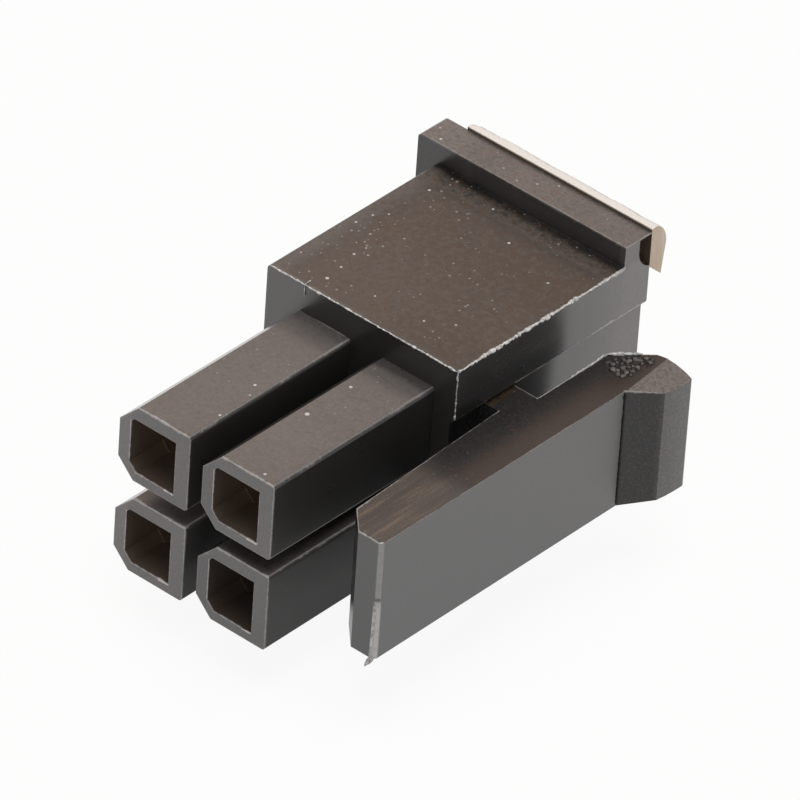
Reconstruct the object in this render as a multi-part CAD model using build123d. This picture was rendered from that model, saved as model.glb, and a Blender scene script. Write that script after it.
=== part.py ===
"""Empty four-way receptacle housing with two rows, a rocking side latch and a cream strip at the back.

The origin is the middle of the mating face, in the plane of the silo tips. X points to the latch, Y to the
wire side and Z up. The housing is one moulding, the same above and below the middle of the latch.
"""
from build123d import *
import os

# Contact grid and silos.
pitch = 3.0
silo_width = 2.52
silo_height = 2.45
silo_length = 6.37
silo_top_chamfer = 0.65
silo_bottom_chamfer = 0.56
silo_corner_round = 0.12

# Cavities, from the mating end to the wire side.
bore_width = 1.61
bore_height = 1.70
bore_shift_x = -0.05
bore_shift_z = -0.06
bore_corner = 0.25
bore_top_corner = 0.12
bore_depth = 1.3
chamber_width = 1.86
chamber_height = 1.86
chamber_corner = 0.45
ledge_start = 5.2
ledge_land = 0.5
ledge_ramp = 0.9
ledge_rise = 0.3
entry_width = 2.15
entry_height = 2.15
entry_depth = 5.4
entry_lead = 0.16

# Body, rails and collar.
body_left_margin = 0.57
body_latch_margin = 0.76
body_top_margin = 0.91
body_length = 6.78
body_corner_round = 0.14
rail_height = 1.61
rail_step = 0.18
collar_length = 1.07
collar_rise = 0.68
collar_left_reach = 0.65
collar_round = 0.15

# Latch, measured from the body's side at the rails.
arm_height = 3.84
arm_outer_reach = 2.21
arm_setback = 0.99
arm_gap_nose = 0.68
arm_gap_bridge = 0.43
arm_gap_rear = 0.78
nose_chamfer = 0.70
nose_edge = 0.09
catch_start = 1.45
catch_length = 2.3
catch_height = 2.5
catch_depth = 0.62
bridge_start = 1.30
bridge_length = 1.18
bridge_round = 0.05
tail_length = 3.82
pad_start = 1.94
pad_rise = 0.71
pad_run = 0.84
pad_crown = 0.09
pad_taper = 0.13
pad_crease_turn = 5.5
pad_back_round = 0.12
pad_back_bow = 0.10
pad_back_chamfer = 0.93

# Cream strip along the top edge of the wire side, and the scoop in the collar beside its end.
strip_length = 6.66
strip_depth = 0.64
strip_rise = 0.11
strip_drop = 1.15
strip_tail = 0.46
strip_heel = 0.55
strip_shoulder = 0.16
scoop_depth = 0.34
scoop_run = 0.49
scoop_height = 1.05
scoop_top = 0.04
scoop_wall = 0.30

# Places that follow from the sizes above.
silo_side = pitch / 2 + silo_width / 2
silo_top = pitch / 2 + silo_height / 2
body_left = -silo_side - body_left_margin
body_right = silo_side + body_latch_margin
body_top = silo_top + body_top_margin
body_front = silo_length
collar_front = body_front + body_length
back = collar_front + collar_length
collar_left = body_left - collar_left_reach
collar_top = body_top + collar_rise
rail_edge = body_top - rail_height
recess_floor = body_right - rail_step
arm_outer = body_right + arm_outer_reach
bridge_front = body_front + bridge_start
bridge_back = bridge_front + bridge_length
tail_end = bridge_back + tail_length
ramp_front = bridge_back + pad_start
pad_outer = arm_outer + pad_rise
columns = (-pitch / 2, pitch / 2)
rows = (-pitch / 2, pitch / 2)


def along_y(face, start, length):
    """Carries a face drawn in X and Z from the plane Y = start towards the wire side."""
    placed = Plane((0, start, 0), x_dir=(1, 0, 0), z_dir=(0, -1, 0)) * face
    return extrude(placed, amount=length, dir=(0, 1, 0))


def along_x(outline, start, length):
    """Carries an outline drawn in Y and Z from the plane X = start towards the latch side."""
    placed = Plane((start, 0, 0), x_dir=(0, 1, 0), z_dir=(1, 0, 0)) * make_face(outline)
    return extrude(placed, amount=length, dir=(1, 0, 0))


def along_z(face, height):
    """Carries a face drawn in X and Y to both sides of the latch's middle plane."""
    return extrude(face, amount=height / 2, both=True)


def cut_rectangle(width, height, top_cut, bottom_cut):
    """Rectangle in X and Z whose upper and lower corners away from the latch are cut off at 45 degrees."""
    side = width / 2
    top = height / 2
    edge = Polyline(
        (side, top),
        (top_cut - side, top),
        (-side, top - top_cut),
        (-side, bottom_cut - top),
        (bottom_cut - side, -top),
        (side, -top),
        close=True,
    )
    return make_face(edge)


def silo_outline():
    """Section of one silo: its two corners away from the latch are cut off, the other two are rounded."""
    face = cut_rectangle(silo_width, silo_height, silo_top_chamfer, silo_bottom_chamfer)
    corners = face.vertices().sort_by(Axis.X)[-2:]
    return fillet(corners, silo_corner_round)


def cavity():
    """Space for one contact: mating bore, chamber with a locking ledge, and the wire entry with its lead-in."""
    entry_front = back - entry_depth
    bore_face = cut_rectangle(bore_width, bore_height, bore_top_corner, bore_corner)
    bore = along_y(Pos(bore_shift_x, bore_shift_z) * bore_face, 0, bore_depth)
    chamber_face = cut_rectangle(chamber_width, chamber_height, chamber_corner, chamber_corner)
    chamber = along_y(chamber_face, bore_depth, entry_front - bore_depth)
    entry = along_y(Rectangle(entry_width, entry_height), entry_front, entry_depth)
    floor = -chamber_height / 2
    ledge_back = ledge_start + ledge_land
    ledge = along_x(
        Polyline(
            (ledge_start, floor),
            (ledge_start, floor + ledge_rise),
            (ledge_back, floor + ledge_rise),
            (ledge_back + ledge_ramp, floor),
            close=True,
        ),
        -chamber_width / 2,
        chamber_width,
    )
    mouth_plane = Plane((0, back, 0), x_dir=(1, 0, 0), z_dir=(0, 1, 0))
    wide = mouth_plane * Rectangle(entry_width + 2 * entry_lead, entry_height + 2 * entry_lead)
    narrow = mouth_plane.offset(-entry_lead) * Rectangle(entry_width, entry_height)
    mouth = loft([narrow, wide])
    return bore + (chamber - ledge) + entry + mouth


def side_recess(start, length):
    """Shallow channel between the two rails on the latch side, with sloping flanks."""
    inner = rail_edge - rail_step
    edge = Polyline(
        (recess_floor, -inner),
        (body_right, -rail_edge),
        (body_right + rail_step, -rail_edge - rail_step),
        (body_right + rail_step, rail_edge + rail_step),
        (body_right, rail_edge),
        (recess_floor, inner),
        close=True,
    )
    return along_y(make_face(edge), start, length)


def body():
    """Block behind the silos, with the two corners away from the latch slightly rounded."""
    width = body_right - body_left
    face = Pos((body_left + body_right) / 2, 0) * Rectangle(width, 2 * body_top)
    face = fillet(face.vertices().sort_by(Axis.X)[:2], body_corner_round)
    return along_y(face, body_front, body_length)


def collar():
    """Rim round the wire side: it stands out above, below and away from the latch, and is flush beside it."""
    width = body_right - collar_left
    face = Pos((collar_left + body_right) / 2, 0) * Rectangle(width, 2 * collar_top)
    face = fillet(face.vertices().sort_by(Axis.X)[:2], collar_round)
    return along_y(face, collar_front, collar_length)


def scoop():
    """Curved hollow in the collar's latch side, beside the end of the cream strip."""
    top = collar_top - scoop_top
    bottom = top - scoop_height
    front = back - scoop_run
    knee = top - scoop_wall
    bow = ThreePointArc((front, knee), (front + 0.28 * scoop_run, (knee + 2 * bottom) / 3), (back, bottom))
    edge = bow + Polyline((back, bottom), (back, top), (front, top), (front, knee))
    return along_x(edge, body_right - scoop_depth, scoop_depth)


def latch():
    """Latch arm seen from above: nose, bridge to the body, tail and thumb pad, all one thickness in Z."""
    nose_inner = body_right + arm_gap_nose
    bridge_inner = body_right + arm_gap_bridge
    tail_inner = body_right + arm_gap_rear
    ramp_back = ramp_front + pad_run
    crown = ThreePointArc(
        (pad_outer, ramp_back),
        (pad_outer + pad_crown * 0.85, (ramp_back + tail_end) / 2),
        (pad_outer + pad_crown, tail_end),
    )
    bow = ThreePointArc(
        (pad_outer + pad_crown, tail_end),
        ((pad_outer + pad_crown + tail_inner + pad_back_chamfer) / 2, tail_end + pad_back_bow),
        (tail_inner + pad_back_chamfer, tail_end),
    )
    edge = (
        Polyline(
            (tail_inner + pad_back_chamfer, tail_end),
            (tail_inner, tail_end - pad_back_chamfer),
            (tail_inner, bridge_back),
            (recess_floor, bridge_back),
            (recess_floor, bridge_front),
            (bridge_inner, bridge_front),
            (nose_inner, arm_setback + nose_chamfer),
            (nose_inner + nose_chamfer, arm_setback),
            (arm_outer - nose_edge, arm_setback),
            (arm_outer, arm_setback + nose_edge),
            (arm_outer, ramp_front),
            (pad_outer, ramp_back),
        )
        + crown
        + bow
    )
    face = make_face(edge)
    back_corner = face.vertices().sort_by(Axis.X)[-1]
    face = fillet(back_corner, pad_back_round)
    roots = [
        vertex
        for vertex in face.vertices()
        if abs(vertex.X - bridge_inner) < arm_gap_bridge and abs(vertex.Y - bridge_front) < bridge_round
        or abs(vertex.X - tail_inner) < rail_step and abs(vertex.Y - bridge_back) < bridge_round
    ]
    face = fillet(roots, bridge_round)
    return along_z(face, arm_height) - pad_slopes()


def pad_slopes():
    """Two wedges that make the thumb pad thinner towards its outer edge, above and below."""
    top = arm_height / 2
    width = 2 * (pad_rise + pad_crown)
    outline = Polyline((0, top), (width, top - 2 * pad_taper), (width, top), close=True)
    wedge = along_y(make_face(outline), -pad_run, tail_end - ramp_front + 2 * pad_run)
    wedge = wedge.moved(Pos(arm_outer, ramp_front) * Rot(0, 0, pad_crease_turn))
    return wedge + mirror(wedge, about=Plane.XY)


def catch_pocket():
    """Hollow in the arm's inner face behind the nose, whose front wall holds the mating part."""
    front = arm_setback + catch_start
    middle = body_right + arm_gap_nose
    reach = catch_depth + arm_gap_nose
    return Pos(middle + catch_depth - reach / 2, front + catch_length / 2) * Box(reach, catch_length, catch_height)


def housing():
    """The whole black moulding as one solid."""
    solid = body() + collar()
    for column in columns:
        for row in rows:
            solid += along_y(Pos(column, row) * silo_outline(), 0, silo_length)
    solid -= side_recess(body_front, body_length + collar_length)
    solid += latch() - catch_pocket()
    opening = cavity()
    for column in columns:
        for row in rows:
            solid -= Pos(column, 0, row) * opening
    solid -= scoop()
    return solid


def rear_strip():
    """Cream strip seated on the wire side below the collar's top edge, thicker at its foot than at its top."""
    top = collar_top + strip_rise
    foot = collar_top - strip_drop
    low = foot - strip_tail
    heel = back + strip_depth
    bend = foot + strip_heel
    shoulder = ThreePointArc(
        (heel, bend),
        (back + strip_depth * 0.66, (top + bend) / 2 + strip_shoulder / 2),
        (back + strip_shoulder, top),
    )
    edge = shoulder + Polyline(
        (back + strip_shoulder, top),
        (back, top),
        (back, foot),
        (heel - strip_shoulder * 0.8, low),
        (heel, bend),
    )
    return along_x(edge, body_right - strip_length, strip_length)


os.makedirs("parts", exist_ok=True)
export_step(housing(), "parts/housing.step")
export_step(rear_strip(), "parts/rear_strip.step")
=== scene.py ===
"""Looks of an empty four-way receptacle housing in black nylon, with a cream strip at its wire side."""
import math
from types import SimpleNamespace

import bpy
import bmesh
import numpy as np
from mathutils import Matrix, Vector


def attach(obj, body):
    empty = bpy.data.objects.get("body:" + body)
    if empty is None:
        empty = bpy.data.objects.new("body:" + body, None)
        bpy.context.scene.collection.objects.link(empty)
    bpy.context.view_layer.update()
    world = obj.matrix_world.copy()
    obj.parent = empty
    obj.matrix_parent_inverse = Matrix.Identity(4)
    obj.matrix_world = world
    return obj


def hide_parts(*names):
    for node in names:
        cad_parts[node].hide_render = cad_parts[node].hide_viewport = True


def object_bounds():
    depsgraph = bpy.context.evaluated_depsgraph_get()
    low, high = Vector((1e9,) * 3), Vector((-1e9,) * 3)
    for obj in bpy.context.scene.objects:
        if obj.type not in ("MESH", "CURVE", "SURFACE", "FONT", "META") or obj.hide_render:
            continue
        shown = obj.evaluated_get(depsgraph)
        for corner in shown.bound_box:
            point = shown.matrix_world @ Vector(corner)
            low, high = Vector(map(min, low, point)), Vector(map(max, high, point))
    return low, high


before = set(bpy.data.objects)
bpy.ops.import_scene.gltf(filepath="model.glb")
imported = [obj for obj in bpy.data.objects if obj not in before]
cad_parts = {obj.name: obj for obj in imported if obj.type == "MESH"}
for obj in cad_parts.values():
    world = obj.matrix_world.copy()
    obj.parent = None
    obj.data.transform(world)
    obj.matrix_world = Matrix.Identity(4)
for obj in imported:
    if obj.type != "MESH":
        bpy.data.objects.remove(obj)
CAD_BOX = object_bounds()

bl_info = {
    "name": "Receptacle housing looks",
    "version": (1, 0, 0),
    "blender": (4, 5, 0),
    "location": "3D View > Sidebar > Housing",
    "description": "Dresses a latching receptacle housing in moulded nylon, with its worn edges and stage",
    "category": "Object",
}

MM = 0.001

# Places on the moulding, in millimetres. X points to the latch, Y to the wire side and Z up.
PITCH = 3.0
SILO_SIDE = 1.26
SILO_HIGH = 1.225
SILO_TOP = PITCH / 2 + SILO_HIGH
SILO_LENGTH = 6.37
BODY_LEFT = -3.33
BODY_RIGHT = 3.52
BODY_TOP = 3.635
COLLAR_FRONT = 13.15
BACK = 14.22
COLLAR_LEFT = -3.98
COLLAR_TOP = 4.315
RAIL_EDGE = 2.025
STRIP_LEFT = -3.14
STRIP_FOOT = 3.165

# Places on the latch: the nose with its cut corner, the bridge, and the tail with its cut corner and pad.
ARM_HALF = 1.92
ARM_OUTER = 5.73
ARM_NOSE = 0.99
NOSE_INNER = 4.20
NOSE_BACK = 1.69
NOSE_TIP = 4.90
BRIDGE_INNER = 3.95
BRIDGE_FRONT = 7.67
BRIDGE_BACK = 8.85
TAIL_INNER = 4.30
TAIL_CUT = 11.72
TAIL_CORNER = 5.23
TAIL_END = 12.67
RAMP_FRONT = 10.79
RAMP_BACK = 11.63
PAD_OUTER = 6.44
CREASE_SLOPE = 0.096
CREASE_SIDE = ARM_OUTER + 0.01

# Corners of a silo's face about its own middle: the two cut ones, and the sides of the bore.
CUT_TOP_X = -0.61
CUT_TOP_Z = 0.575
CUT_LOW_X = -0.70
CUT_LOW_Z = -0.66
BORE_LEFT = -0.855
BORE_RIGHT = 0.755
BORE_FLOOR = -0.91
BORE_ROOF = 0.79

# Colours of the stains, flecks and dust on the nylon, and of a band of painted light.
TAN = (0.14, 0.100, 0.062)
BAND_LIGHT_COLOUR = (0.17, 0.140, 0.118)
BROWN_FILM = (0.052, 0.032, 0.016)
WARM_FLECK = (0.095, 0.056, 0.036)
COLD_FLECK = (0.010, 0.013, 0.010)
BROWN_STRIPE = (0.045, 0.024, 0.017)
DUST_GREY = (0.74, 0.72, 0.70)


class HousingLooks(bpy.types.PropertyGroup):
    """Finish of the black moulding."""

    nylon: bpy.props.FloatVectorProperty(
        name="Nylon", description="Colour of the bare nylon",
        subtype="COLOR", size=3, default=(0.023, 0.022, 0.0215),
    )
    film: bpy.props.FloatVectorProperty(
        name="Top film", description="Colour of the brown film on faces that look up",
        subtype="COLOR", size=3, default=(0.020, 0.015, 0.012),
    )
    # Grey haze, partly dust and partly painted sheen.
    haze_and_sheen: bpy.props.FloatVectorProperty(
        name="Haze", description="Colour of the grey haze on the silos and the collar",
        subtype="COLOR", size=3, default=(0.112, 0.099, 0.093),
    )
    inside: bpy.props.FloatVectorProperty(
        name="Inside", description="Colour in the cavities",
        subtype="COLOR", size=3, default=(0.200, 0.136, 0.096),
    )
    # Colour of scuffed edges, and of painted highlights along edges that catch light.
    worn_and_lit: bpy.props.FloatVectorProperty(
        name="Worn edge", description="Colour of scuffed edges",
        subtype="COLOR", size=3, default=(0.60, 0.575, 0.56),
    )
    # Dark colour of the grain and streaks, also used as painted shade in inner corners, creases, cavities and
    # pits.
    grime_and_shade: bpy.props.FloatVectorProperty(
        name="Grime", description="Colour in the inner corners",
        subtype="COLOR", size=3, default=(0.008, 0.006, 0.005),
    )
    edge_round: bpy.props.FloatProperty(
        name="Edge round", description="Radius of the moulding's edges", unit="LENGTH", default=0.035 * MM
    )


class BurrLooks(bpy.types.PropertyGroup):
    """Ragged burr along the edges of the body and the latch."""

    radius: bpy.props.FloatProperty(
        name="Radius", description="Mean radius of the burr", unit="LENGTH", default=0.026 * MM
    )
    # Near white, partly painted highlight on the lit edges.
    colour: bpy.props.FloatVectorProperty(
        name="Colour", description="Colour of the burr", subtype="COLOR", size=3, default=(0.84, 0.82, 0.80)
    )


class ScarLooks(bpy.types.PropertyGroup):
    """Broken gate on the thumb pad."""

    height: bpy.props.FloatProperty(
        name="Height", description="Radius of the largest crumbs", unit="LENGTH", default=0.082 * MM
    )
    crumbs: bpy.props.IntProperty(name="Crumbs", description="Number of crumbs", default=80)


class StripLooks(bpy.types.PropertyGroup):
    """Finish of the cream strip."""

    cream: bpy.props.FloatVectorProperty(
        name="Cream", description="Colour of the strip", subtype="COLOR", size=3, default=(0.68, 0.55, 0.42)
    )
    # Lighter than the cream, as painted light on the upper faces.
    top: bpy.props.FloatVectorProperty(
        name="Top", description="Colour of the strip's upper side",
        subtype="COLOR", size=3, default=(0.90, 0.86, 0.81),
    )
    # Dark brown, as painted shade on the face that lies on the collar.
    shaded_seat: bpy.props.FloatVectorProperty(
        name="Seat", description="Colour of the side that lies on the collar",
        subtype="COLOR", size=3, default=(0.110, 0.078, 0.060),
    )
    depth: bpy.props.FloatProperty(
        name="Depth", description="How far the strip stands out behind the collar",
        unit="LENGTH", default=0.64 * MM,
    )


class StageLooks(bpy.types.PropertyGroup):
    """Camera and floor."""

    azimuth: bpy.props.FloatProperty(
        name="Azimuth", description="Turn of the camera about the vertical", unit="ROTATION",
        default=math.radians(39.395),
    )
    elevation: bpy.props.FloatProperty(
        name="Elevation", description="Height of the camera above the level", unit="ROTATION",
        default=math.radians(36.355),
    )
    roll: bpy.props.FloatProperty(
        name="Roll", description="Turn of the picture about the line of sight", unit="ROTATION",
        default=math.radians(3.963),
    )
    distance: bpy.props.FloatProperty(
        name="Distance", description="From the camera to what it aims at", unit="LENGTH", default=0.330
    )
    lens: bpy.props.FloatProperty(name="Lens", description="Focal length in millimetres", default=551.8)
    aim: bpy.props.FloatVectorProperty(
        name="Aim", description="Point that the camera looks at", subtype="TRANSLATION", size=3,
        default=(0.000740, 0.007268, 0.000599),
    )
    floor_colour: bpy.props.FloatVectorProperty(
        name="Floor", description="Colour of the floor", subtype="COLOR", size=3, default=(0.95, 0.95, 0.95)
    )


class Value:
    """A shader socket that adds Math or Vector Math nodes when Python does arithmetic on it."""

    def __init__(self, tree, socket):
        self.tree = tree
        self.socket = socket

    def _math(self, operation, first, *others):
        kind = "ShaderNodeMath"
        if any(isinstance(v, Value) and v.socket.type == "VECTOR" for v in (first, *others)):
            kind = "ShaderNodeVectorMath"
        return self.tree.node(kind, {"operation": operation}, [first, *others])

    def __add__(self, other):
        return self._math("ADD", self, other)

    def __radd__(self, other):
        return self._math("ADD", other, self)

    def __sub__(self, other):
        return self._math("SUBTRACT", self, other)

    def __rsub__(self, other):
        return self._math("SUBTRACT", other, self)

    def __mul__(self, other):
        return self._math("MULTIPLY", self, other)

    def __rmul__(self, other):
        return self._math("MULTIPLY", other, self)

    def __truediv__(self, other):
        return self._math("DIVIDE", self, other)

    def __rtruediv__(self, other):
        return self._math("DIVIDE", other, self)

    def __abs__(self):
        return self._math("ABSOLUTE", self)

    def sign(self):
        return self._math("SIGN", self)

    def least(self, other):
        return self._math("MINIMUM", self, other)

    def most(self, other):
        return self._math("MAXIMUM", self, other)

    def clamp(self):
        return self.most(0.0).least(1.0)

    def step(self, low, high):
        """Smooth rise from 0 at low to 1 at high; it falls where high is the smaller."""
        if low > high:
            return 1.0 - self.step(high, low)
        inputs = {"Value": self, "From Min": low, "From Max": high}
        return self.tree.node("ShaderNodeMapRange", {"interpolation_type": "SMOOTHSTEP"}, inputs)

    def scaled(self, vector):
        """A fixed vector times this value."""
        inputs = {0: tuple(vector), "Scale": self}
        return self.tree.node("ShaderNodeVectorMath", {"operation": "SCALE"}, inputs)

    def dot(self, vector):
        settings = {"operation": "DOT_PRODUCT"}
        return self.tree.node("ShaderNodeVectorMath", settings, [self, tuple(vector)], output="Value")

    def length(self):
        return self.tree.node("ShaderNodeVectorMath", {"operation": "LENGTH"}, [self], output="Value")


class Tree:
    """Builds one material's nodes."""

    def __init__(self, name):
        self.material = bpy.data.materials.new(name)
        self.material.use_nodes = True
        self.tree = self.material.node_tree
        self.tree.nodes.clear()

    def node(self, kind, settings=None, inputs=None, output=0):
        """Adds a node, sets its settings and then its inputs, by position or by name."""
        made = self.tree.nodes.new(kind)
        for key, value in (settings or {}).items():
            setattr(made, key, value)
        pairs = enumerate(inputs) if isinstance(inputs, list) else (inputs or {}).items()
        for key, value in pairs:
            socket = made.inputs[key]
            if isinstance(value, Value):
                self.tree.links.new(value.socket, socket)
            else:
                socket.default_value = value
        return Value(self, made.outputs[output]) if made.outputs else None

    def place(self):
        """Object coordinates in millimetres."""
        coordinates = self.node("ShaderNodeTexCoord", output="Object")
        return self.node("ShaderNodeVectorMath", {"operation": "SCALE"}, {0: coordinates, "Scale": 1.0 / MM})

    def facing(self):
        """The surface's own direction, as three values."""
        return self.split(self.node("ShaderNodeTexCoord", output="Normal"))

    def split(self, vector):
        node = self.node("ShaderNodeSeparateXYZ", None, [vector]).socket.node
        return [Value(self, node.outputs[k]) for k in range(3)]

    def join(self, x, y, z):
        return self.node("ShaderNodeCombineXYZ", None, [x, y, z])

    def noise(self, vector, scale, detail=2.0, roughness=0.5):
        inputs = {"Vector": vector, "Scale": scale, "Detail": detail, "Roughness": roughness}
        return self.node("ShaderNodeTexNoise", None, inputs)

    def specks(self, vector, scale):
        """Distance to the nearest of scattered points, and the random colour of that point's cell."""
        node = self.node("ShaderNodeTexVoronoi", None, {"Vector": vector, "Scale": scale}).socket.node
        return Value(self, node.outputs["Distance"]) / scale, self.split(Value(self, node.outputs["Color"]))

    def attribute(self, name):
        """A value that each vertex of the mesh holds."""
        return self.node("ShaderNodeAttribute", {"attribute_name": name}, output="Fac")

    def blend(self, factor, first, second):
        """Mixes two colours."""
        first, second = (c if isinstance(c, Value) else (*c, 1.0) for c in (first, second))
        return self.node("ShaderNodeMix", {"data_type": "RGBA"}, {0: factor, 6: first, 7: second}, output=2)

    def bump(self, height, distance, strength):
        inputs = {"Height": height, "Distance": distance, "Strength": strength}
        return self.node("ShaderNodeBump", None, inputs)

    def finish(self, shader):
        self.node("ShaderNodeOutputMaterial", None, {"Surface": shader})
        return self.material

    def surface(self, **inputs):
        """Ends the material in one Principled shader."""
        named = {key.replace("_", " "): value for key, value in inputs.items()}
        return self.finish(self.node("ShaderNodeBsdfPrincipled", None, named))


# Marks along edges, in millimetres: two ends, reach from the edge, raggedness from 0 to 1, softness and
# strength. The silos' marks are placed about the middle of each silo. Pale marks are wear together with
# painted highlights where rounded edges catch light.
SILO_SCUFFS_AND_GLINTS = (
    ((CUT_TOP_X, 0, SILO_HIGH), (SILO_SIDE, 0, SILO_HIGH), 0.050, 0.9, 0.03, 0.60),
    ((-SILO_SIDE, 0, CUT_TOP_Z), (CUT_TOP_X, 0, SILO_HIGH), 0.045, 0.9, 0.04, 0.25),
    ((-SILO_SIDE, 0, CUT_LOW_Z), (-SILO_SIDE, 0, CUT_TOP_Z), 0.030, 0.5, 0.03, 0.25),
    ((-SILO_SIDE, 0, CUT_LOW_Z), (CUT_LOW_X, 0, -SILO_HIGH), 0.030, 0.5, 0.03, 0.30),
    ((CUT_LOW_X, 0, -SILO_HIGH), (SILO_SIDE, 0, -SILO_HIGH), 0.025, 0.6, 0.02, 0.30),
    # Painted highlights along the right edges and around the bore.
    ((SILO_SIDE, 0, -SILO_HIGH), (SILO_SIDE, 0, SILO_HIGH), 0.045, 0.6, 0.04, 0.30),
    ((SILO_SIDE, 0, SILO_HIGH), (SILO_SIDE, 6.0, SILO_HIGH), 0.045, 0.8, 0.05, 0.42),
    ((BORE_LEFT, 0, -0.62), (BORE_LEFT, 0, 0.67), 0.032, 0.7, 0.015, 0.62),
    ((BORE_LEFT, 0, -0.66), (-0.605, 0, BORE_FLOOR), 0.028, 0.7, 0.02, 0.40),
    ((-0.605, 0, BORE_FLOOR), (BORE_RIGHT, 0, BORE_FLOOR), 0.028, 1.0, 0.015, 0.55),
    # A painted glint at the bore's lower right corner.
    ((0.42, 0, -0.935), (0.72, 0, -0.935), 0.042, 0.7, 0.015, 1.00),
    ((BORE_RIGHT, 0, -0.8), (BORE_RIGHT, 0, 0.7), 0.024, 1.0, 0.015, 0.35),
    ((-0.70, 0, BORE_ROOF), (0.70, 0, BORE_ROOF), 0.020, 1.0, 0.02, 0.25),
)

BODY_SCUFFS_AND_HIGHLIGHTS = (
    ((BODY_LEFT, SILO_LENGTH, BODY_TOP), (BODY_RIGHT, SILO_LENGTH, BODY_TOP), 0.030, 0.9, 0.02, 0.6),
    ((BODY_RIGHT, SILO_LENGTH, BODY_TOP), (BODY_RIGHT, COLLAR_FRONT, BODY_TOP), 0.050, 0.9, 0.02, 0.8),
    ((BODY_RIGHT, SILO_LENGTH, RAIL_EDGE), (BODY_RIGHT, BRIDGE_FRONT, RAIL_EDGE), 0.022, 0.6, 0.02, 0.28),
    ((BODY_RIGHT, BRIDGE_BACK, RAIL_EDGE), (BODY_RIGHT, BACK, RAIL_EDGE), 0.035, 0.8, 0.02, 0.55),
    ((BODY_RIGHT, 12.0, RAIL_EDGE), (BODY_RIGHT, BACK, RAIL_EDGE), 0.050, 0.9, 0.02, 0.8),
    ((BODY_RIGHT, COLLAR_FRONT, COLLAR_TOP), (BODY_RIGHT, BACK, COLLAR_TOP), 0.040, 0.5, 0.04, 0.50),
    ((COLLAR_LEFT, COLLAR_FRONT, COLLAR_TOP), (BODY_RIGHT, COLLAR_FRONT, COLLAR_TOP), 0.075, 0.5, 0.07, 0.2),
    ((BODY_RIGHT, COLLAR_FRONT, BODY_TOP), (BODY_RIGHT, COLLAR_FRONT, COLLAR_TOP), 0.030, 0.6, 0.03, 0.30),
    ((BODY_LEFT, SILO_LENGTH, -BODY_TOP), (BODY_LEFT, SILO_LENGTH, BODY_TOP), 0.060, 0.4, 0.05, 0.12),
    # A painted highlight where the upper left silo meets the body's front.
    ((-1.50, SILO_LENGTH, 2.73), (-0.45, SILO_LENGTH, 2.73), 0.022, 0.6, 0.02, 0.30),
)

# Three faint scratches on the body's upper face.
SCRATCHES = (
    ((-0.62, 7.95, BODY_TOP), (0.05, 9.85, BODY_TOP), 0.020, 0.9, 0.04, 0.07),
    ((-1.15, 7.25, BODY_TOP), (0.55, 7.70, BODY_TOP), 0.020, 0.9, 0.05, 0.06),
    ((1.30, 8.60, BODY_TOP), (1.62, 10.9, BODY_TOP), 0.018, 0.9, 0.04, 0.06),
)

LATCH_SCUFFS = (
    ((ARM_OUTER, ARM_NOSE, ARM_HALF), (ARM_OUTER, RAMP_FRONT, ARM_HALF), 0.022, 0.6, 0.02, 0.30),
    ((NOSE_INNER, NOSE_BACK, ARM_HALF), (BRIDGE_INNER, BRIDGE_FRONT, ARM_HALF), 0.026, 0.8, 0.015, 0.35),
    ((NOSE_INNER, NOSE_BACK, ARM_HALF), (4.12, 3.4, ARM_HALF), 0.040, 0.8, 0.02, 0.50),
    ((NOSE_INNER, NOSE_BACK, ARM_HALF), (NOSE_TIP, ARM_NOSE, ARM_HALF), 0.032, 0.7, 0.02, 0.55),
    ((NOSE_TIP, ARM_NOSE, ARM_HALF), (ARM_OUTER, ARM_NOSE, ARM_HALF), 0.040, 0.9, 0.02, 0.60),
    ((BODY_RIGHT, BRIDGE_BACK, ARM_HALF), (TAIL_INNER, BRIDGE_BACK, ARM_HALF), 0.026, 0.4, 0.015, 0.55),
    ((TAIL_INNER, BRIDGE_BACK, ARM_HALF), (TAIL_INNER, 11.7, ARM_HALF), 0.034, 0.5, 0.015, 0.75),
    ((TAIL_INNER, TAIL_CUT, ARM_HALF), (TAIL_CORNER, TAIL_END, ARM_HALF), 0.040, 0.8, 0.02, 0.55),
    ((ARM_OUTER, RAMP_FRONT, ARM_HALF), (PAD_OUTER, RAMP_BACK, 1.80), 0.040, 0.9, 0.03, 0.45),
)

# Painted shade along lines, in the columns of the marks above: the pad's crease, the strip's joins, the
# collar's foot.
PAINTED_SHADE_LINES = (
    ((CREASE_SIDE, RAMP_FRONT, -ARM_HALF), (CREASE_SIDE, RAMP_FRONT, ARM_HALF), 0.050, 0.2, 0.03, 0.9),
    ((COLLAR_LEFT, BACK, COLLAR_TOP), (BODY_RIGHT, BACK, COLLAR_TOP), 0.025, 0.5, 0.03, 0.8),
    ((BODY_RIGHT, BACK, STRIP_FOOT), (BODY_RIGHT, BACK, COLLAR_TOP), 0.040, 0.3, 0.02, 0.9),
    ((BODY_LEFT, COLLAR_FRONT, BODY_TOP), (BODY_RIGHT, COLLAR_FRONT, BODY_TOP), 0.13, 0.9, 0.17, 0.65),
)

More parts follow.
